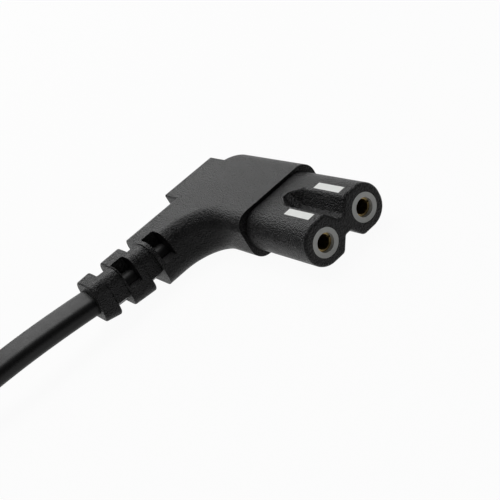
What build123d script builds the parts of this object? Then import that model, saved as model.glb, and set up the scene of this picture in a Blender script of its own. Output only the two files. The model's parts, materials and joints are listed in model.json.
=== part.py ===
"""Mains lead: right-angled two-pin appliance connector, flat flex and flat two-pin plug.

Millimetres, +Z up. The connector lies on its flat side, its bores pointing along +X and
its flex leaving along -Y. It is drawn from the middle of its mouth, and at the end
everything moves so that the origin is under the middle of the connector.
"""
import os
from math import cos, pi, radians, sin, tan

from build123d import *

# Connector nose
pin_pitch = 8.6
nose_length = 16.8
nose_side = 3.65  # from a bore's axis to the nose's side
nose_half_height = 3.8
nose_corner = 3.55
nose_edge_round = 0.5
groove_half_top = 2.18
groove_half_floor = 0.55
groove_depth = 2.25
groove_length = 10.6
groove_ramp = 2.4
groove_end_depth = 0.1
groove_lip_round = 0.9
groove_floor_round = 0.45

# Connector body
half_height = 4.4
body_step = 0.6  # the body's sides stand this far outside the nose
body_edge_round = 2.7
far_corner_round = 5.4
inner_bend_round = 6.5
pad_depth = 2.7  # the sharp-edged pad behind the body
pad_width = 11.8
pad_middle = -1.0
pad_overlap = 9.0
pad_round = 0.3

# Strain relief, whose stations are measured along the flex from the root's end
flex_set_back = 35.5  # from the mouth to the flex's axis
flex_rise = 0.4  # of the flex's axis above the connector's middle plane
root_front = 5.3  # from the flex's axis to the root's side towards the nose
root_rear = 5.5
root_length = 10.15  # past the body's side
relief_lift = 7.5  # degrees that the relief bends upwards
relief_stations = (  # distance, half width, half height, corner
    (2.3, 4.5, 4.0, 2.0),
    (6.8, 4.3, 3.85, 1.9),
    (9.3, 4.1, 3.75, 1.8),
    (12.3, 3.8, 3.45, 1.7),
)
neck_sections = (  # half width, half height, corner, half of what the flats leave
    (4.45, 3.85, 2.0, 3.25),
    (4.1, 3.7, 1.85, 3.0),
)
neck_turn = 28.0  # degrees that the necks' flats are turned about the flex
neck_bite = 0.1  # of a neck inside the rib after it
rib_round = 0.35
slot_middles = (-2.1, 5.1)
slot_length = 2.7
slot_near = 0.6  # from the flex's axis to the slot's inner wall
slot_floor = -0.3  # above the flex's axis
slot_corner = 0.6

# Contact carrier and contacts
sleeve_radius = 2.38
entry_radius = 1.56
entry_length = 0.8
sleeve_length = 13.6
web_half_height = 0.8
web_set_back = 0.9
backplate_length = 2.4
backplate_half_width = 6.6
backplate_half_height = 2.6
window_front = 2.02
window_length = 6.52
window_near = 2.64  # from the middle plane to the window's inner side
window_width = 1.38
contact_bore = 1.22
contact_wall = 0.5
contact_bore_length = 9.8
contact_slit = 0.4
contact_slit_length = 6.5
crimp_wall = 0.35
crimp_length = 5.0

# Flex
flex_width = 5.6
flex_height = 3.4
flex_roll = 20.0  # degrees that the flex is turned about itself in the relief
core_radius = 1.1
core_offset = 1.15
core_bend = 4.0
strand_radius = 0.5
strand_grip = 4.6  # bare strands inside a crimp
sheath_inside = 9.0  # sheath in front of the root's end

# Hank of put-away flex
hank_columns = 3
hank_layers = 2
hank_inner_radius = 16.8
hank_column_pitch = 3.5
hank_layer_pitch = 5.65
hank_straight = 63.0
hank_middle = (-18.95, -123.5)
tie_width = 6.0
tie_thickness = 0.4
tie_at = -9.0  # along the hank from its middle

# Plug, whose lengths are measured from the flex's entry
plug_pin_pitch = 18.6
plug_pin_radius = 2.0
plug_pin_length = 19.0
plug_pin_root_radius = 2.3  # inside the bridge
plug_pin_tip_round = 1.2
pin_sleeve_length = 10.0
pin_neck_radius = 1.4
plug_length = 38.0
plug_half_width = 17.65
plug_half_height = 6.85
plug_flat_half_width = 12.6
plug_side_half_height = 2.6
plug_face_length = 9.0
plug_neck_at = 13.0
plug_neck_half_width = 7.6
plug_neck_half_height = 5.6
plug_edge_round = 0.8
plug_relief_start = (3.9, 3.1)
plug_relief_end = (5.6, 4.6)
plug_groove_count = 4
plug_groove_pitch = 3.0
plug_groove_length = 1.3
plug_groove_start = 1.2
plug_groove_wall = 0.3  # left over the flex
plug_reach = 9.0
bridge_length = 9.0
bridge_rim = 2.6  # of moulding above and below the bridge
bridge_side = 2.0  # of bridge outside a pin
bridge_corner = 0.6  # left straight between the bridge's rounded corners
pin_hole_depth = 3.0
plug_core_bend = 3.2
plug_core_run = 3.5  # straight length of a core at its two ends
plug_sheath_inside = 16.0
plug_heading = 108.0

# Route of the flex: x and y from the middle of the mouth, z from the floor
exit_run = 6.0
lead_points = ((-36.4, -48.6, 6.6), (-39.6, -63.6, 5.5), (-42.75, -78.8, 3.2), (-42.75, -92.0, 3.2))
tail_points = ((4.85, -153.6, 14.25), (4.95, -143.5, 14.9), (4.7, -133.5, 16.9), (3.59, -123.51, 18.5))
plug_entry = (0.5, -114.0, 18.5)

# Worked out from the sizes above
bore_y = pin_pitch / 2
nose_half_width = bore_y + nose_side
body_half_width = nose_half_width + body_step
body_back = flex_set_back + root_rear
flex_height_at_root = half_height + flex_rise
root_end = -body_half_width - root_length
relief_length = relief_stations[-1][0]
relief_radius = relief_length / radians(relief_lift)
contact_radius = contact_bore + contact_wall
crimp_radius = strand_radius + crimp_wall
crimp_front = -sleeve_length
crimp_back = crimp_front - crimp_length
sheath_end_y = root_end + sheath_inside
hank_radius = hank_inner_radius + hank_column_pitch * (hank_columns - 0.5)
hank_hole_radius = hank_inner_radius - hank_column_pitch / 2
hank_height = flex_width + hank_layer_pitch * (hank_layers - 1)


def box(x, y, z):
    """Box between two limits on each axis."""
    size = [high - low for low, high in (x, y, z)]
    return Pos(*[(low + high) / 2 for low, high in (x, y, z)]) * Box(*size)


def rod(start, end, radius):
    """Round bar between two points."""
    line = Line(start, end)
    return extrude(Plane(origin=start, z_dir=line % 0) * Circle(radius), line.length)


def tube(points, bend, radius):
    """Round bar along straight runs joined by arcs."""
    path = FilletPolyline(*points, radius=bend)
    return sweep(Plane(origin=points[0], z_dir=path % 0) * Circle(radius), path=path)


def relief_plane(distance):
    """Plane across the flex at a distance past the root's end; x is sideways and y is up."""
    if distance <= 0:
        origin = (-flex_set_back, root_end - distance, flex_height_at_root)
        return Plane(origin=origin, x_dir=(1, 0, 0), z_dir=(0, -1, 0))
    lift = distance / relief_radius
    along = -sin(lift) * relief_radius
    rise = (1 - cos(lift)) * relief_radius
    origin = (-flex_set_back, root_end + along, flex_height_at_root + rise)
    return Plane(origin=origin, x_dir=(1, 0, 0), z_dir=(0, -cos(lift), sin(lift)))


def flex_section(roll):
    """Flex's outline, turned about its own axis."""
    return Rot(0, 0, roll) * RectangleRounded(flex_width, flex_height, flex_height / 2 - 0.01)


def route_radii(points):
    """Largest arc that each point's two runs allow."""
    radii = []
    for before, here, after in zip(points, points[1:], points[2:]):
        first = Vector(*here) - Vector(*before)
        second = Vector(*after) - Vector(*here)
        turn = radians(first.get_angle(second))
        radii.append(0.45 * min(first.length, second.length) / tan(turn / 2))
    return radii


def flex_tube(points, up):
    """Flex along straight runs joined by arcs, with its narrow side towards up at the start."""
    path = FilletPolyline(*points, radius=route_radii(points))
    start = path % 0
    across = start.cross(Vector(*up))
    plane = Plane(origin=points[0], x_dir=across, z_dir=start)
    return sweep(plane * flex_section(0), path=path), path.length


def racetrack(radius):
    """Outline round the hank's two folds."""
    return SlotCenterToCenter(hank_straight, 2 * radius, rotation=90)


def groove_section(depth):
    """Upper groove's outline at one station, with rounded lips and floor."""
    top = half_height + nose_half_height
    share = depth / groove_depth
    wide = groove_half_floor + (groove_half_top - groove_half_floor) * share
    reach = groove_half_top + groove_lip_round
    corners = ((-reach, top), (-wide, top), (-groove_half_floor, top - depth))
    mirrored = [(-y, z) for y, z in reversed(corners)]
    ceiling = top + 2 * groove_lip_round
    lip = groove_lip_round * share
    floor = groove_floor_round * share
    rounds = [0, lip, floor, floor, lip, 0, 0, 0]
    outline = [*corners, *mirrored, (reach, ceiling), (-reach, ceiling)]
    return make_face(FilletPolyline(*outline, radius=rounds, close=True))


def groove():
    """Wedge between the barrels on top, running out in a ramp."""
    deep = groove_section(groove_depth)
    cutter = extrude(Plane.YZ.offset(1) * deep, -groove_length - 1)
    shallow = groove_section(groove_end_depth)
    start = Plane.YZ.offset(-groove_length)
    end = Plane.YZ.offset(-groove_length - groove_ramp)
    return cutter + loft([start * deep, end * shallow], ruled=True)


def nose():
    outline = Pos(0, half_height) * RectangleRounded(2 * nose_half_width, 2 * nose_half_height, nose_corner)
    block = extrude(Plane.YZ * outline, -nose_length)
    upper = groove()
    block = block - upper - mirror(upper, Plane.XY.offset(half_height))
    return fillet(block.faces().sort_by(Axis.X)[-1].edges(), nose_edge_round)


def body():
    """Body, relief root and the pad behind them."""
    corners = [
        (-nose_length, -body_half_width),
        (-flex_set_back + root_front, -body_half_width),
        (-flex_set_back + root_front, root_end),
        (-body_back, root_end),
        (-body_back, body_half_width),
        (-nose_length, body_half_width),
    ]
    rounds = [0, inner_bend_round, 0, 0, far_corner_round, 0]
    block = extrude(make_face(FilletPolyline(*corners, radius=rounds, close=True)), 2 * half_height)
    level = block.faces().sort_by(Axis.Z)
    edges = [edge for face in (level[0], level[-1]) for edge in face.edges()]
    behind = [edge for edge in edges if edge.center().X < -nose_length - 0.01]
    kept = [edge for edge in behind if edge.center().Y > root_end + 0.01]
    block = fillet(kept, body_edge_round)
    pad_low = pad_middle - pad_width / 2
    pad_x = (-body_back - pad_depth, -body_back + pad_overlap)
    pad = box(pad_x, (pad_low, pad_low + pad_width), (0, 2 * half_height))
    return block + fillet(pad.edges(), pad_round)


def rib(start, end):
    """Rib between two sections, with its rims rounded."""
    band = loft([start, end])
    faces = band.faces().sort_by(Axis.Y)
    return fillet([*faces[0].edges(), *faces[-1].edges()], rib_round)


def relief():
    """Ribs of the bent cage past the root, and the flat-sided necks before them."""
    sections = []
    for distance, wide, high, corner in relief_stations:
        sections.append(relief_plane(distance) * RectangleRounded(2 * wide, 2 * high, corner))
    cage = rib(*sections[:2]) + rib(*sections[2:])
    ends = ((0, relief_stations[0][0]), (relief_stations[1][0], relief_stations[2][0]))
    for (start, end), (wide, high, corner, flat) in zip(ends, neck_sections):
        band = Rot(0, 0, neck_turn) * Rectangle(4 * wide, 2 * flat)
        outline = RectangleRounded(2 * wide, 2 * high, corner) & band
        cage += extrude(relief_plane(start) * outline, end - start + neck_bite)
    return cage


def relief_slots(middle):
    """Pockets beside the flex: one in front above it, one behind below it."""
    reach = 2 * root_rear
    outline = Pos(slot_near + reach / 2, 0) * RectangleRounded(reach, slot_length, slot_corner)
    front = extrude(Plane.XZ.offset(-slot_floor) * outline, -reach)
    plane = relief_plane(middle)
    return plane * front + plane * Rot(0, 0, 180) * front


def bore_point(x, side):
    """Point on a bore's axis."""
    return (x, side * bore_y, half_height)


def carrier():
    """Insulating insert: two sleeves, the web between them, a back plate and the window pads."""
    web_z = (half_height - web_half_height, half_height + web_half_height)
    insert = box((-sleeve_length, -web_set_back), (-bore_y, bore_y), web_z)
    insert += box(
        (-sleeve_length, -sleeve_length + backplate_length),
        (-backplate_half_width, backplate_half_width),
        (half_height - backplate_half_height / 2, half_height + backplate_half_height / 2),
    )
    for side in (1, -1):
        insert += rod(bore_point(0, side), bore_point(-sleeve_length, side), sleeve_radius)
        near = side * window_near
        far = side * (window_near + window_width)
        x = (-window_front - window_length, -window_front)
        z = (half_height - nose_half_height, half_height + nose_half_height)
        insert += box(x, (min(near, far), max(near, far)), z)
    for side in (1, -1):
        insert -= rod(bore_point(0, side), bore_point(-sleeve_length - 1, side), contact_radius)
        insert += collar(side)
    return insert


def collar(side):
    """Front of a sleeve, which keeps the contact in."""
    ring = rod(bore_point(0, side), bore_point(-entry_length, side), sleeve_radius)
    return ring - rod(bore_point(1, side), bore_point(-entry_length - 1, side), entry_radius)


def contact(side):
    """Slit brass socket with its crimp barrel."""
    back = -entry_length - contact_bore_length
    socket = rod(bore_point(-entry_length, side), bore_point(-sleeve_length, side), contact_radius)
    socket -= rod(bore_point(0, side), bore_point(back, side), contact_bore)
    slit_x = (-entry_length - contact_slit_length, -entry_length)
    slit_y = (side * bore_y - 2 * contact_radius, side * bore_y + 2 * contact_radius)
    socket -= box(slit_x, slit_y, (half_height - contact_slit / 2, half_height + contact_slit / 2))
    return socket + rod(bore_point(crimp_front, side), bore_point(crimp_back, side), crimp_radius)


def connector_wire(side):
    """Insulated core and its strands, from a crimp to the flex's sheath."""
    offset = -side * core_offset
    end_x = -flex_set_back + offset * cos(radians(flex_roll))
    end_z = flex_height_at_root - offset * sin(radians(flex_roll))
    corner = (end_x, side * bore_y, end_z)
    end = (end_x, sheath_end_y, end_z)
    core = tube([bore_point(crimp_back, side), corner, end], core_bend, core_radius)
    strands = tube([bore_point(crimp_back + strand_grip, side), corner, end], core_bend, strand_radius)
    return core - strands, strands


def inner_sheath():
    """Flex's sheath inside the root and the bent relief."""
    start = (-flex_set_back, sheath_end_y, flex_height_at_root)
    straight = Line(start, (-flex_set_back, root_end, flex_height_at_root))
    bend = TangentArc(straight @ 1, relief_plane(relief_length).origin, tangent=(0, -1, 0))
    section = relief_plane(-sheath_inside) * flex_section(-flex_roll)
    return sweep(section, path=Curve() + [straight, bend])


def plug_outline(half_width, high, flat_share, side_share):
    """Six-sided outline of the plug at one station."""
    flat = half_width * flat_share
    side = high * side_share
    corners = ((half_width, side), (flat, high), (-flat, high), (-half_width, side))
    lower = [(x, -z) for x, z in reversed(corners)]
    outline = make_face(Polyline(*corners, *lower, close=True))
    return fillet(outline.vertices(), plug_edge_round)


def plug_station(distance):
    """Plane across the plug at a distance from the flex's entry; x is sideways and y is up."""
    return Plane(origin=(0, distance, 0), x_dir=(1, 0, 0), z_dir=(0, -1, 0))


def plug_shell():
    flat_share = plug_flat_half_width / plug_half_width
    side_share = plug_side_half_height / plug_half_height
    face = plug_outline(plug_half_width, plug_half_height, flat_share, side_share)
    neck = plug_outline(plug_neck_half_width, plug_neck_half_height, flat_share, side_share)
    shoulder = plug_length - plug_face_length
    shell = loft([plug_station(plug_length) * face, plug_station(shoulder) * face])
    shell += loft([plug_station(shoulder) * face, plug_station(plug_neck_at) * neck])
    small = Ellipse(*plug_relief_start)
    large = Ellipse(*plug_relief_end)
    shell += loft([plug_station(plug_neck_at) * large, plug_station(0) * small])
    for index in range(plug_groove_count):
        start = plug_groove_start + plug_groove_pitch * index
        y = (start, start + plug_groove_length)
        if index % 2:
            near = flex_width / 2 + plug_groove_wall
            shell -= box((near, plug_reach), y, (-plug_reach, plug_reach))
            shell -= box((-plug_reach, -near), y, (-plug_reach, plug_reach))
        else:
            near = flex_height / 2 + plug_groove_wall
            shell -= box((-plug_reach, plug_reach), y, (near, plug_reach))
            shell -= box((-plug_reach, plug_reach), y, (-plug_reach, -near))
    return shell


def plug_wire(side):
    """Core and strands in the plug, from the sheath to a pin."""
    x = side * plug_pin_pitch / 2
    pin_back = plug_length - bridge_length
    near = side * core_offset
    split = (near, plug_sheath_inside + plug_core_run, 0)
    points = [(near, plug_sheath_inside, 0), split, (x, pin_back - plug_core_run, 0)]
    core = tube([*points, (x, pin_back, 0)], plug_core_bend, core_radius)
    strands = tube([*points, (x, pin_back + pin_hole_depth, 0)], plug_core_bend, strand_radius)
    return core - strands, strands


def plug_pin(side):
    """Brass pin with a neck for its sleeve and a hole for the strands."""
    x = side * plug_pin_pitch / 2
    tip = plug_length + plug_pin_length
    pin = rod((x, plug_length + pin_sleeve_length, 0), (x, tip, 0), plug_pin_radius)
    pin = fillet(pin.faces().sort_by(Axis.Y)[-1].edges(), plug_pin_tip_round)
    pin += rod((x, plug_length, 0), (x, plug_length + pin_sleeve_length, 0), pin_neck_radius)
    pin_back = plug_length - bridge_length
    pin += rod((x, pin_back, 0), (x, plug_length, 0), plug_pin_root_radius)
    return pin - rod((x, pin_back - 1, 0), (x, pin_back + pin_hole_depth, 0), strand_radius)


def pin_sleeve(side):
    x = side * plug_pin_pitch / 2
    end = plug_length + pin_sleeve_length
    outside = rod((x, plug_length, 0), (x, end, 0), plug_pin_radius)
    return outside - rod((x, plug_length, 0), (x, end, 0), pin_neck_radius)


def plug_bridge():
    """Insulating block that holds both pins, its face flush with the plug's."""
    half_width = plug_pin_pitch / 2 + plug_pin_radius + bridge_side
    high = plug_half_height - bridge_rim
    block = box((-half_width, half_width), (plug_length - bridge_length, plug_length), (-high, high))
    return fillet(block.edges().filter_by(Axis.Y), high - bridge_corner)


# Connector
wires = {"live": connector_wire(1), "neutral": connector_wire(-1)}
sheath = inner_sheath()
insert = carrier()
contacts = {"live": contact(1), "neutral": contact(-1)}
for name, (core, strands) in wires.items():
    contacts[name] = contacts[name] - core - strands
inner = insert + sheath
for side in (1, -1):
    inner += rod(bore_point(1, side), bore_point(-sleeve_length, side), contact_radius)
    inner += rod(bore_point(-sleeve_length, side), bore_point(crimp_back, side), crimp_radius)
for core, strands in wires.values():
    inner += core + strands
# One moulding, kept as three nodes so that each has a simple collision shape
front = nose() - inner
middle = body() - relief_slots(slot_middles[0]) - inner
back = relief() - relief_slots(slot_middles[1]) - inner

nodes = {
    "connector_nose": front,
    "connector_body": middle,
    "strain_relief": back,
    "contact_carrier": insert,
    "contact_live": contacts["live"],
    "contact_neutral": contacts["neutral"],
    "live_core": wires["live"][0],
    "live_strands": wires["live"][1],
    "neutral_core": wires["neutral"][0],
    "neutral_strands": wires["neutral"][1],
    "sheath_end": sheath,
}
bounds = Compound([front, middle, back, insert]).bounding_box()
shift = Pos(-bounds.center().X, -bounds.center().Y, -bounds.min.Z)

# Flex from the relief to the hank
exit_plane = relief_plane(relief_length)
exit_point = exit_plane.origin
lead_route = [tuple(exit_point), tuple(exit_point + exit_plane.z_dir * exit_run), *lead_points]
roll = radians(flex_roll)
lead, lead_length = flex_tube(lead_route, (sin(roll), 0, cos(roll)))
nodes["cord_lead"] = lead

# Flex from the hank to the plug
heading = radians(plug_heading)
tail_route = [*tail_points, plug_entry]
tail, tail_length = flex_tube(tail_route, (1, 0, 0))
nodes["cord_tail"] = tail

# Hank, which holds the lead's and the tail's ends
hank = extrude(racetrack(hank_radius) - racetrack(hank_hole_radius), hank_height)
hank = Pos(*hank_middle, tie_thickness) * hank
nodes["cord_hank"] = hank - lead - tail
bundle_width = hank_radius - hank_hole_radius
for name, side in (("hank_tie_near", -1), ("hank_tie_far", 1)):
    middle = Pos(hank_middle[0] + side * (hank_hole_radius + bundle_width / 2), hank_middle[1] + tie_at, 0)
    inside = Box(bundle_width, tie_width, hank_height)
    outside = Box(bundle_width + 2 * tie_thickness, tie_width, hank_height + 2 * tie_thickness)
    nodes[name] = middle * Pos(0, 0, tie_thickness + hank_height / 2) * (outside - inside)

# Plug, drawn along +Y from the flex's entry and then laid on the hank
place = Pos(*plug_entry) * Rot(0, 0, plug_heading - 90)
plug_sheath = extrude(plug_station(plug_sheath_inside) * flex_section(0), plug_sheath_inside)
bridge = plug_bridge()
shell = plug_shell() - plug_sheath - bridge
for name, side in (("live", 1), ("neutral", -1)):
    core, strands = plug_wire(side)
    pin = plug_pin(side)
    shell = shell - core - strands
    bridge -= pin
    bridge -= strands
    nodes["plug_" + name + "_core"] = place * core
    nodes["plug_" + name + "_strands"] = place * strands
    nodes["plug_pin_" + name] = place * pin
    nodes["pin_sleeve_" + name] = place * pin_sleeve(side)
nodes["plug_bridge"] = place * bridge
nodes["plug_overmould"] = place * shell
nodes["plug_sheath_end"] = place * plug_sheath

os.makedirs("parts", exist_ok=True)
for name, shape in nodes.items():
    placed = shift * shape
    export_step(placed, "parts/" + name + ".step")
    size = placed.bounding_box()
    print(name, len(placed.solids()), [round(value, 2) for value in (*size.min, *size.max)])

section_area = (flex_width - flex_height) * flex_height + pi * (flex_height / 2) ** 2
moved = Vector(*shift.position)
cords = (("lead", lead, lead_route, lead_length), ("tail", tail, tail_route, tail_length))
for name, solid, route, length in cords:
    share = solid.volume / (section_area * length)
    print(name, "length", round(length, 2), "volume share", round(share, 4))
    print(name, "radii", [round(radius, 1) for radius in route_radii(route)])
    for point in route:
        print("   ", [round(value, 3) for value in Vector(*point) + moved])
print("shift", [round(value, 3) for value in moved])
print("exit heading", [round(value, 4) for value in exit_plane.z_dir])
turn_radii = [hank_inner_radius + hank_column_pitch * column for column in range(hank_columns)]
turns = [2 * pi * radius + 2 * hank_straight for radius in turn_radii]
print("hank length", round(hank_layers * sum(turns), 1))
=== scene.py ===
import math

import bpy
from mathutils import Matrix, Vector
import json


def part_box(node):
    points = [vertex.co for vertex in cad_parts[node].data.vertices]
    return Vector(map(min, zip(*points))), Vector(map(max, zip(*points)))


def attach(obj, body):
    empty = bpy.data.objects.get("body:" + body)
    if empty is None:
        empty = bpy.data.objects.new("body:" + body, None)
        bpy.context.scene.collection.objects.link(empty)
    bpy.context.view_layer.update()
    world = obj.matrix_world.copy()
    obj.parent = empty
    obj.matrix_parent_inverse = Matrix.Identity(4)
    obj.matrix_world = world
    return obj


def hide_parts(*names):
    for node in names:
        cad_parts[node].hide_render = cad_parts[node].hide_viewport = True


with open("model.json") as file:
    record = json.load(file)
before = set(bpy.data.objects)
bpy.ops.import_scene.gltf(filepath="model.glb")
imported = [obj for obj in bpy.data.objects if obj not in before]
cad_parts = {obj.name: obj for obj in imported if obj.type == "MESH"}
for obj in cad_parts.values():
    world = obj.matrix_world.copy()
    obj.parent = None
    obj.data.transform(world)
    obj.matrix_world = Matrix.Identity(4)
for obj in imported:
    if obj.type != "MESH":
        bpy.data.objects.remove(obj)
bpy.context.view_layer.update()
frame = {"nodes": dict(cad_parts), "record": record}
nodes = frame["nodes"]


# the photograph's angle: the mouth at the right, the flex leaving to the lower left
cameraSetup = {
    "eye": (0.13875, -0.049489, 0.0751),
    "right": (0.5293, 0.7069, -0.4693),
    "up": (-0.1649, 0.6283, 0.7603),
    "back": (0.8323, -0.3250, 0.4491),
    "lens": 71.18,
    "sensor": 36.0,
    "near": 0.005,
    "far": 20.0,
}


def placeCamera(setup):
    data = bpy.data.cameras.new("productCamera")
    data.lens = setup["lens"]
    data.sensor_width = setup["sensor"]
    data.sensor_height = setup["sensor"]
    data.clip_start = setup["near"]
    data.clip_end = setup["far"]
    camera = bpy.data.objects.new("productCamera", data)
    bpy.context.collection.objects.link(camera)
    columns = [Vector(setup[name]).normalized() for name in ("right", "up", "back")]
    turn = Matrix(columns).transposed()
    camera.matrix_world = Matrix.Translation(setup["eye"]) @ turn.to_4x4()
    bpy.context.scene.camera = camera


placeCamera(cameraSetup)
print("camera placed")


def newMaterial(name, baseColor, roughness, metallic=0.0, specular=0.5):
    material = bpy.data.materials.new(name)
    material.use_nodes = True
    shader = material.node_tree.nodes["Principled BSDF"]
    shader.inputs["Base Color"].default_value = (*baseColor, 1.0)
    shader.inputs["Roughness"].default_value = roughness
    shader.inputs["Metallic"].default_value = metallic
    shader.inputs["Specular IOR Level"].default_value = specular
    return material, shader


def objectPoint(tree):
    return tree.nodes.new("ShaderNodeTexCoord").outputs["Object"]


def addNoise(tree, scale, detail=2.0, stretch=(1.0, 1.0, 1.0)):
    mapping = tree.nodes.new("ShaderNodeMapping")
    mapping.inputs["Scale"].default_value = stretch
    tree.links.new(objectPoint(tree), mapping.inputs["Vector"])
    noise = tree.nodes.new("ShaderNodeTexNoise")
    noise.inputs["Scale"].default_value = scale
    noise.inputs["Detail"].default_value = detail
    tree.links.new(mapping.outputs["Vector"], noise.inputs["Vector"])
    return noise.outputs["Fac"]


def addRamp(tree, source, low, high):
    # a source from 0 to 1 becomes low to high
    spread = tree.nodes.new("ShaderNodeMapRange")
    spread.inputs["To Min"].default_value = low
    spread.inputs["To Max"].default_value = high
    tree.links.new(source, spread.inputs["Value"])
    return spread.outputs["Result"]


def addBump(tree, shader, source, depth, strength=1.0, below=None):
    bump = tree.nodes.new("ShaderNodeBump")
    bump.inputs["Distance"].default_value = depth
    bump.inputs["Strength"].default_value = strength
    tree.links.new(source, bump.inputs["Height"])
    if below is not None:
        tree.links.new(below, bump.inputs["Normal"])
    tree.links.new(bump.outputs["Normal"], shader.inputs["Normal"])
    return bump.outputs["Normal"]


grainedPlastic = {
    "roughness": 0.5,
    "grainScale": 4000.0,   # cells per metre of the spark-eroded grain
    "grainDepth": 0.00034,
    "grainDetail": 1.0,
    "fineScale": 6500.0,
    "fineDepth": 0.00008,
    "speckleDetail": 2.0,
    "gloss": 0.2,
    "dullLow": 0.2,
    "dullHigh": 0.52,
    "paler": 1.8,           # the palest cloud as a share of the written colour
}


def addColorCloud(tree, shader, source, baseColor, paler):
    # the colour drifts between the written one and a paler one
    mix = tree.nodes.new("ShaderNodeMix")
    mix.data_type = "RGBA"
    mix.inputs["A"].default_value = (*baseColor, 1.0)
    mix.inputs["B"].default_value = (*[min(1.0, part * paler) for part in baseColor], 1.0)
    tree.links.new(source, mix.inputs["Factor"])
    tree.links.new(mix.outputs["Result"], shader.inputs["Base Color"])


def makeGrainedPlastic(name, baseColor, look):
    material, shader = newMaterial(name, baseColor, look["roughness"], specular=look["gloss"])
    tree = material.node_tree
    coarse = addNoise(tree, look["grainScale"], look["grainDetail"])
    fine = addNoise(tree, look["fineScale"], look["grainDetail"])
    lower = addBump(tree, shader, coarse, look["grainDepth"])
    addBump(tree, shader, fine, look["fineDepth"], 1.0, lower)
    speckle = addNoise(tree, look["grainScale"], look["speckleDetail"])
    addColorCloud(tree, shader, coarse, baseColor, look["paler"])
    tree.links.new(addRamp(tree, speckle, look["dullLow"], look["dullHigh"]), shader.inputs["Roughness"])
    return material


smoothPlastic = {
    "waveScale": 900.0,
    "waveDetail": 3.0,
    "waveDepth": 0.000012,
    "dullSpread": 0.06,
    "paler": 1.15,
}


def makeSmoothPlastic(name, baseColor, roughness, look, gloss=0.5):
    material, shader = newMaterial(name, baseColor, roughness, specular=gloss)
    tree = material.node_tree
    wave = addNoise(tree, look["waveScale"], look["waveDetail"])
    addBump(tree, shader, wave, look["waveDepth"])
    addColorCloud(tree, shader, wave, baseColor, look["paler"])
    low, high = roughness - look["dullSpread"], roughness + look["dullSpread"]
    tree.links.new(addRamp(tree, wave, low, high), shader.inputs["Roughness"])
    return material


metalLook = {
    "scratchScale": 1400.0,
    "scratchDetail": 3.0,
    "scratchStretch": (1.0, 0.15, 1.0),
    "scratchDepth": 0.0000015,
    "tarnishScale": 160.0,
    "tarnishDetail": 4.0,
    "dullLow": 0.85,        # shares of the written roughness
    "dullHigh": 1.15,
    "paler": 0.9,
}


def makeMetal(name, baseColor, roughness, look):
    material, shader = newMaterial(name, baseColor, roughness, metallic=1.0)
    tree = material.node_tree
    scratch = addNoise(tree, look["scratchScale"], look["scratchDetail"], look["scratchStretch"])
    addBump(tree, shader, scratch, look["scratchDepth"])
    tarnish = addNoise(tree, look["tarnishScale"], look["tarnishDetail"])
    addColorCloud(tree, shader, tarnish, baseColor, look["paler"])
    low, high = roughness * look["dullLow"], roughness * look["dullHigh"]
    tree.links.new(addRamp(tree, scratch, low, high), shader.inputs["Roughness"])
    return material


bandLook = {"roughness": 0.7, "ribScale": 2400.0, "ribDepth": 0.00004, "distortion": 0.6, "paler": 1.2}


def makeBandCloth(name, baseColor, look):
    # fine ribs along the band, like woven tape
    material, shader = newMaterial(name, baseColor, look["roughness"])
    tree = material.node_tree
    ribs = tree.nodes.new("ShaderNodeTexWave")
    ribs.bands_direction = "Y"
    ribs.inputs["Scale"].default_value = look["ribScale"]
    ribs.inputs["Distortion"].default_value = look["distortion"]
    tree.links.new(objectPoint(tree), ribs.inputs["Vector"])
    addBump(tree, shader, ribs.outputs["Fac"], look["ribDepth"])
    addColorCloud(tree, shader, ribs.outputs["Fac"], baseColor, look["paler"])
    return material


materials = {
    "connector_black": makeGrainedPlastic("connectorBlack", (0.0065, 0.0065, 0.0068), grainedPlastic),
    "plug_black": makeGrainedPlastic("plugBlack", (0.0065, 0.0065, 0.0068), grainedPlastic),
    "flex_black": makeSmoothPlastic("flexBlack", (0.006, 0.006, 0.0063), 0.44, smoothPlastic, 0.25),
    "sleeve_black": makeSmoothPlastic("sleeveBlack", (0.02, 0.02, 0.02), 0.4, smoothPlastic),
    "carrier_grey": makeSmoothPlastic("carrierGrey", (0.6, 0.61, 0.59), 0.45, smoothPlastic),
    # the contact brass colour is darkened well below plain brass: painted shade for the contacts' place
    # deep inside the bores
    "contact_brass": makeMetal("contactBrass", (0.36, 0.27, 0.12), 0.42, metalLook),
    "pin_nickel": makeMetal("pinNickel", (0.66, 0.64, 0.6), 0.22, metalLook),
    "copper": makeMetal("copperStrands", (0.8, 0.44, 0.3), 0.35, metalLook),
    "core_brown": makeSmoothPlastic("coreBrown", (0.15, 0.06, 0.03), 0.35, smoothPlastic),
    "core_blue": makeSmoothPlastic("coreBlue", (0.04, 0.16, 0.5), 0.35, smoothPlastic),
    "tie_white": makeBandCloth("tieWhite", (0.66, 0.66, 0.64), bandLook),
}
print("materials made:", len(materials))


def dressNode(name, slotName):
    node = nodes[name]
    node.data.materials.clear()
    node.data.materials.append(materials[slotName])


for row in frame["record"]["subparts"]:
    dressNode(row["node"], row["material_slot"])


flexNodes = ("cord_lead", "cord_hank", "cord_tail")

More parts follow.
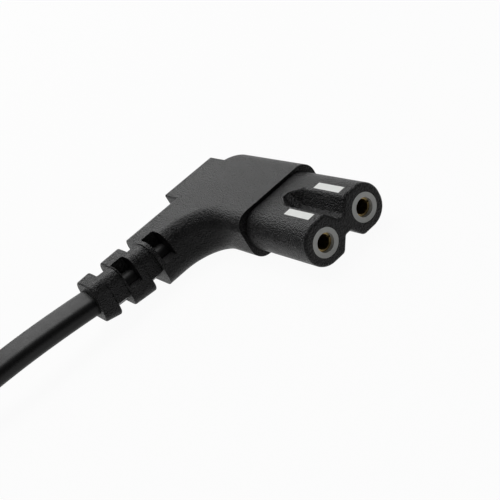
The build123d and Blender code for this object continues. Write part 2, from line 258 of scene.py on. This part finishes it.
# one flex from the relief through the hank to the plug
flex = {
    "width": 0.0056,
    "height": 0.0034,
    "lead": (
        (-0.01365, -0.019552, 0.005604),
        (-0.01365, -0.0255, 0.006387),
        (-0.01455, -0.037187, 0.0069),
        (-0.01775, -0.052187, 0.0057),
        (-0.0209, -0.067387, 0.0032),
        (-0.0209, -0.080587, 0.0032),
    ),
    "leadTilts": (70.0, 70.0, 72.0, 60.0, 20.0, 0.0),  # 0 stands the flex on edge, 90 lays it flat
    "tail": (
        (0.0267, -0.142187, 0.01425),
        (0.0268, -0.132087, 0.0149),
        (0.02655, -0.122087, 0.0169),
        (0.02544, -0.112097, 0.0185),
        (0.02235, -0.102587, 0.0185),
    ),
    "tailTilts": (0.0, 8.0, 35.0, 75.0, 90.0),
    "length": 1.49,
    "bevelSteps": 6,
    "splineSteps": 8,
}
hank = {
    "middle": (0.0029, -0.112087),
    "straight": 0.063,
    "innerRadius": 0.0168,
    "columnPitch": 0.0035,
    "layerPitch": 0.00565,
    "firstHeight": 0.0032,
    "turnRadii": (0.0238, 0.0203, 0.0168, 0.0168, 0.0203, 0.0238),
    "foldCorners": 6,
    "topHeight": 0.01425,
}


def hankFold(top, startRadius, endRadius, startHeight, endHeight, setup):
    # one half turn round an end of the hank, as corners of the curve's control line
    centreX, middleY = setup["middle"]
    side = 1 if top else -1
    centreY = middleY + side * setup["straight"] / 2
    step = math.pi / setup["foldCorners"]
    first = 0.0 if top else math.pi
    stations = [0.0] + [step * (index + 0.5) for index in range(setup["foldCorners"])] + [math.pi]
    points = []
    for angle in stations:
        share = angle / math.pi
        radius = startRadius + (endRadius - startRadius) * share
        if 0 < share < 1:
            radius /= math.cos(step / 2)
        height = startHeight + (endHeight - startHeight) * share
        x = centreX + radius * math.cos(first + angle)
        y = centreY + radius * math.sin(first + angle)
        points.append((x, y, height))
    return points


def hankPoints(setup):
    points = []
    radii = setup["turnRadii"]
    low = setup["firstHeight"]
    high = low + setup["layerPitch"]
    half = len(radii) // 2
    for turn, radius in enumerate(radii):
        height = low if turn < half else high
        last = turn == len(radii) - 1
        endHeight = setup["topHeight"] if last else height
        points += hankFold(False, radius, radius, height, endHeight, setup)
        if last:
            break
        nextHeight = low if turn + 1 < half else high
        points += hankFold(True, radius, radii[turn + 1], height, nextHeight, setup)
    return points


def makeFlex(setup, coil):
    middle = hankPoints(coil)
    points = list(setup["lead"]) + middle + list(setup["tail"])
    tilts = list(setup["leadTilts"]) + [0.0] * len(middle) + list(setup["tailTilts"])
    curve = bpy.data.curves.new("flex", "CURVE")
    curve.dimensions = "3D"
    curve.twist_mode = "Z_UP"
    curve.fill_mode = "FULL"
    curve.bevel_depth = setup["height"] / 2
    curve.extrude = (setup["width"] - setup["height"]) / 2
    curve.bevel_resolution = setup["bevelSteps"]
    curve.resolution_u = setup["splineSteps"]
    curve.use_fill_caps = True
    spline = curve.splines.new("NURBS")
    spline.points.add(len(points) - 1)
    for point, place, tilt in zip(spline.points, points, tilts):
        point.co = (*place, 1.0)
        point.tilt = math.radians(tilt)
    spline.order_u = 3
    spline.use_endpoint_u = True
    spline.use_smooth = True
    cord = bpy.data.objects.new("flex", curve)
    bpy.context.collection.objects.link(cord)
    curve.materials.append(materials["flex_black"])
    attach(cord, "root")
    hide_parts(*flexNodes)
    return cord


flexCord = makeFlex(flex, hank)
print("flex laid")


# woven band round each side of the hank, its end lapped over its start
tie = {
    "nodes": ("hank_tie_near", "hank_tie_far"),
    "thickness": 0.0004,
    "cornerRadius": 0.0019,
    "cornerSteps": 7,
    "lap": 0.0045,
    "climb": 0.0012,        # length over which the lapped end climbs onto the start
    "edgeRound": 0.00012,
    "straightStep": 0.0006,
}


def bandPath(halfX, halfZ, setup):
    # points and outward directions round the bundle, from the middle of its top, once round and on
    radius = setup["cornerRadius"]
    corners = ((1, 1, 90.0), (1, -1, 0.0), (-1, -1, -90.0), (-1, 1, -180.0))
    path = [(0.0, halfZ, 0.0, 1.0)]
    for sideX, sideZ, start in corners:
        for step in range(setup["cornerSteps"] + 1):
            angle = math.radians(start - 90.0 * step / setup["cornerSteps"])
            outX, outZ = math.cos(angle), math.sin(angle)
            x = sideX * (halfX - radius) + radius * outX
            z = sideZ * (halfZ - radius) + radius * outZ
            path.append((x, z, outX, outZ))
    path.append((0.0, halfZ, 0.0, 1.0))
    lapSteps = int(setup["lap"] / setup["straightStep"])
    for step in range(1, lapSteps + 1):
        path.append((step * setup["straightStep"], halfZ, 0.0, 1.0))
    return path


def bandProfile(width, thickness, edgeRound):
    # places across the band and heights above its inner side, with its edges eased
    half = width / 2
    return (
        (-half + edgeRound, 0.0),
        (half - edgeRound, 0.0),
        (half, edgeRound),
        (half, thickness - edgeRound),
        (half - edgeRound, thickness),
        (-half + edgeRound, thickness),
        (-half, thickness - edgeRound),
        (-half, edgeRound),
    )


def makeTie(node, setup):
    low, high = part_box(node)
    thickness = setup["thickness"]
    centreX, centreY, centreZ = [(low[axis] + high[axis]) / 2 for axis in range(3)]
    halfX = (high[0] - low[0]) / 2 - thickness
    halfZ = (high[2] - low[2]) / 2 - thickness
    path = bandPath(halfX, halfZ, setup)
    profile = bandProfile(high[1] - low[1], thickness, setup["edgeRound"])
    lapStart = len(path) - int(setup["lap"] / setup["straightStep"]) - 1
    vertices = []
    for index, (x, z, outX, outZ) in enumerate(path):
        lift = thickness if index >= lapStart else 0.0
        for across, height in profile:
            out = height + lift
            vertices.append((centreX + x + outX * out, centreY + across, centreZ + z + outZ * out))
    sides = len(profile)
    faces = [tuple(reversed(range(sides)))]
    for ring in range(len(path) - 1):
        for side in range(sides):
            after = (side + 1) % sides
            faces.append((ring * sides + side, ring * sides + after,
                          (ring + 1) * sides + after, (ring + 1) * sides + side))
    faces.append(tuple((len(path) - 1) * sides + side for side in range(sides)))
    mesh = bpy.data.meshes.new(node + "_band")
    mesh.from_pydata(vertices, [], faces)
    mesh.validate()
    mesh.materials.append(materials["tie_white"])
    band = bpy.data.objects.new(node + "_band", mesh)
    bpy.context.collection.objects.link(band)
    for polygon in mesh.polygons:
        polygon.use_smooth = len(polygon.vertices) == 4
    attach(band, "root")
    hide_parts(node)
    return band


bands = [makeTie(node, tie) for node in tie["nodes"]]
print("ties made:", len(bands))


# pale floor, whose white the camera, gloss and glass see
floorSetup = {
    "half": 3.0,
    "drop": 0.00005,
    "color": (0.5, 0.5, 0.5),
    "roughness": 0.8,
    "gloss": 0.2,
    "whiteShare": 0.95,
}


def addSeenRays(tree):
    # 1 for camera, glossy and transmission rays
    path = tree.nodes.new("ShaderNodeLightPath")
    total = path.outputs["Is Camera Ray"]
    for name in ("Is Glossy Ray", "Is Transmission Ray"):
        either = tree.nodes.new("ShaderNodeMath")
        either.operation = "MAXIMUM"
        tree.links.new(total, either.inputs[0])
        tree.links.new(path.outputs[name], either.inputs[1])
        total = either.outputs[0]
    return total


def makeFloor(setup):
    mesh = bpy.data.meshes.new("floor")
    reach = setup["half"]
    corners = [(-reach, -reach), (reach, -reach), (reach, reach), (-reach, reach)]
    mesh.from_pydata([(x, y, -setup["drop"]) for x, y in corners], [], [(0, 1, 2, 3)])
    floor = bpy.data.objects.new("floor", mesh)
    bpy.context.collection.objects.link(floor)
    material, shader = newMaterial("paleFloor", setup["color"], setup["roughness"], specular=setup["gloss"])
    tree = material.node_tree
    glow = tree.nodes.new("ShaderNodeEmission")
    glow.inputs["Color"].default_value = (1.0, 1.0, 1.0, 1.0)
    glow.inputs["Strength"].default_value = 1.0
    share = tree.nodes.new("ShaderNodeMath")
    share.operation = "MULTIPLY"
    share.inputs[1].default_value = setup["whiteShare"]
    tree.links.new(addSeenRays(tree), share.inputs[0])
    mix = tree.nodes.new("ShaderNodeMixShader")
    tree.links.new(share.outputs[0], mix.inputs[0])
    tree.links.new(shader.outputs[0], mix.inputs[1])
    tree.links.new(glow.outputs[0], mix.inputs[2])
    tree.links.new(mix.outputs[0], tree.nodes["Material Output"].inputs["Surface"])
    mesh.materials.append(material)


def makeWorld(strength):
    world = bpy.data.worlds.new("paleWorld")
    bpy.context.scene.world = world
    world.use_nodes = True
    tree = world.node_tree
    background = tree.nodes["Background"]
    background.inputs["Color"].default_value = (1.0, 1.0, 1.0, 1.0)
    path = tree.nodes.new("ShaderNodeLightPath")
    spread = tree.nodes.new("ShaderNodeMapRange")
    spread.inputs["To Min"].default_value = strength
    spread.inputs["To Max"].default_value = 1.0
    tree.links.new(path.outputs["Is Camera Ray"], spread.inputs["Value"])
    tree.links.new(spread.outputs["Result"], background.inputs["Strength"])


worldStrength = 0.08
lamps = {
    "topSoft": {"at": (-0.42, 0.12, 0.95), "size": 0.7, "power": 9.0},
    "backSoft": {"at": (-0.85, 0.35, 0.42), "size": 0.7, "power": 3.4},
}


def makeLamps(setup):
    for name, lamp in setup.items():
        data = bpy.data.lights.new(name, "AREA")
        data.shape = "SQUARE"
        data.size = lamp["size"]
        data.energy = lamp["power"]
        light = bpy.data.objects.new(name, data)
        light.location = lamp["at"]
        light.rotation_euler = (-Vector(lamp["at"])).to_track_quat("-Z", "Y").to_euler()
        bpy.context.collection.objects.link(light)


makeFloor(floorSetup)
makeWorld(worldStrength)
makeLamps(lamps)
bpy.context.scene.view_settings.view_transform = "Standard"
print("floor and lamps set")
